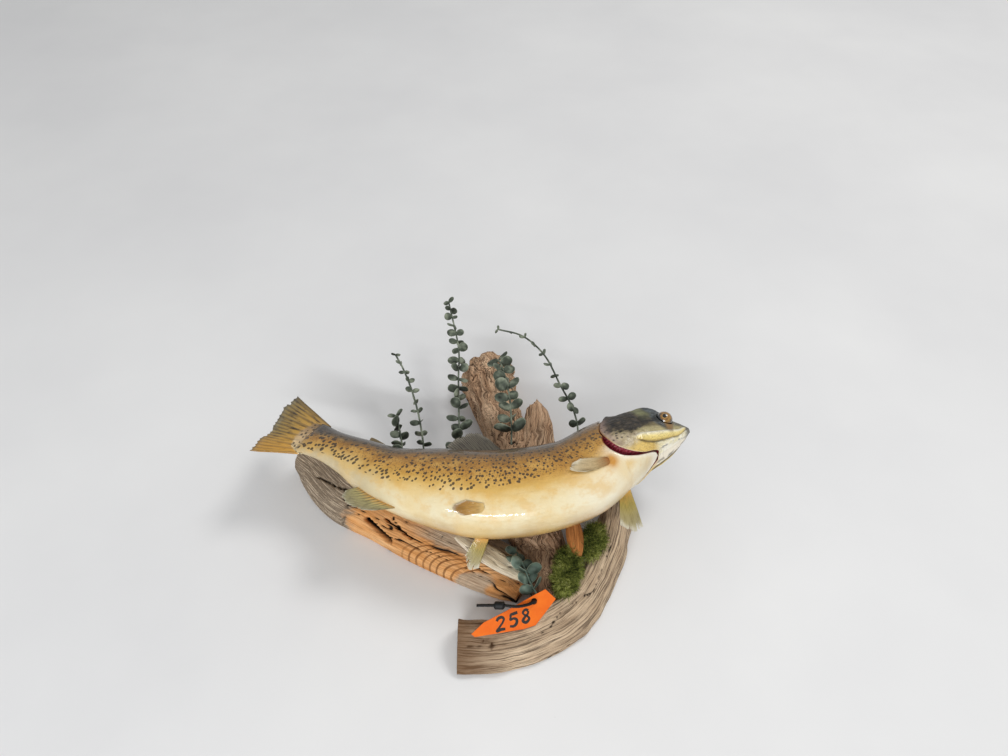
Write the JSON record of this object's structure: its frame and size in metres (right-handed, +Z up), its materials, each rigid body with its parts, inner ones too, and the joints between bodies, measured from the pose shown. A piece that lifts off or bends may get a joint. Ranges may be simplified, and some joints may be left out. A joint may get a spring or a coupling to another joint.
{
  "type": "mounted brown trout",
  "caption": "Mounted brown trout, varnished, bent in a gentle curve on a driftwood base with dried eucalyptus sprigs, moss and a card tag on a cable tie.",
  "frame": {"origin": "on the flat underside of the plank, at the level of the table, below the fish's belly", "axes": "+X towards the fish's head, +Y towards its back, +Z up from the table, out of its right flank"},
  "size_m": [0.4796, 0.4763, 0.1292],
  "materials": {
    "skin": "varnished skin, satin to gloss",
    "head": "varnished skin, gloss",
    "gill": "dried and painted, satin",
    "fin": "thin, translucent, satin",
    "eye": "glass, polished",
    "wood_grey": "weathered, matt",
    "wood_cut": "sawn and sanded, matt",
    "wood_brown": "burled, matt",
    "wood_pale": "split, matt",
    "leaf": "dried leaf, matt",
    "moss": "dried moss, matt",
    "tag": "card, matt",
    "tie": "nylon, satin"
  },
  "bodies": {
    "root": {"trunk": "skin", "tail": "skin", "head": "head", "lower_jaw": "head", "gill_cover_right": "head", "gill_cover_left": "head", "maxilla_right": "head", "maxilla_left": "head", "gills": "gill", "dorsal_fin": "fin", "adipose_fin": "fin", "anal_fin": "fin", "caudal_fin": "fin", "pelvic_fin_right": "fin", "pelvic_fin_left": "fin", "pectoral_fin_right": "fin", "pectoral_fin_left": "fin", "eye_right": "eye", "eye_left": "eye", "plank": "wood_cut", "branch": "wood_grey", "root": "wood_brown", "stub": "wood_brown", "pale_strip": "wood_pale", "orange_splinter": "wood_cut", "moss_left": "moss", "moss_right": "moss", "sprig_tail": "leaf", "sprig_left": "leaf", "sprig_tall": "leaf", "sprig_root": "leaf", "sprig_head": "leaf", "sprig_belly": "leaf", "lot_tag": "tag", "tag_tie": "tie"}
  },
  "joints": []
}
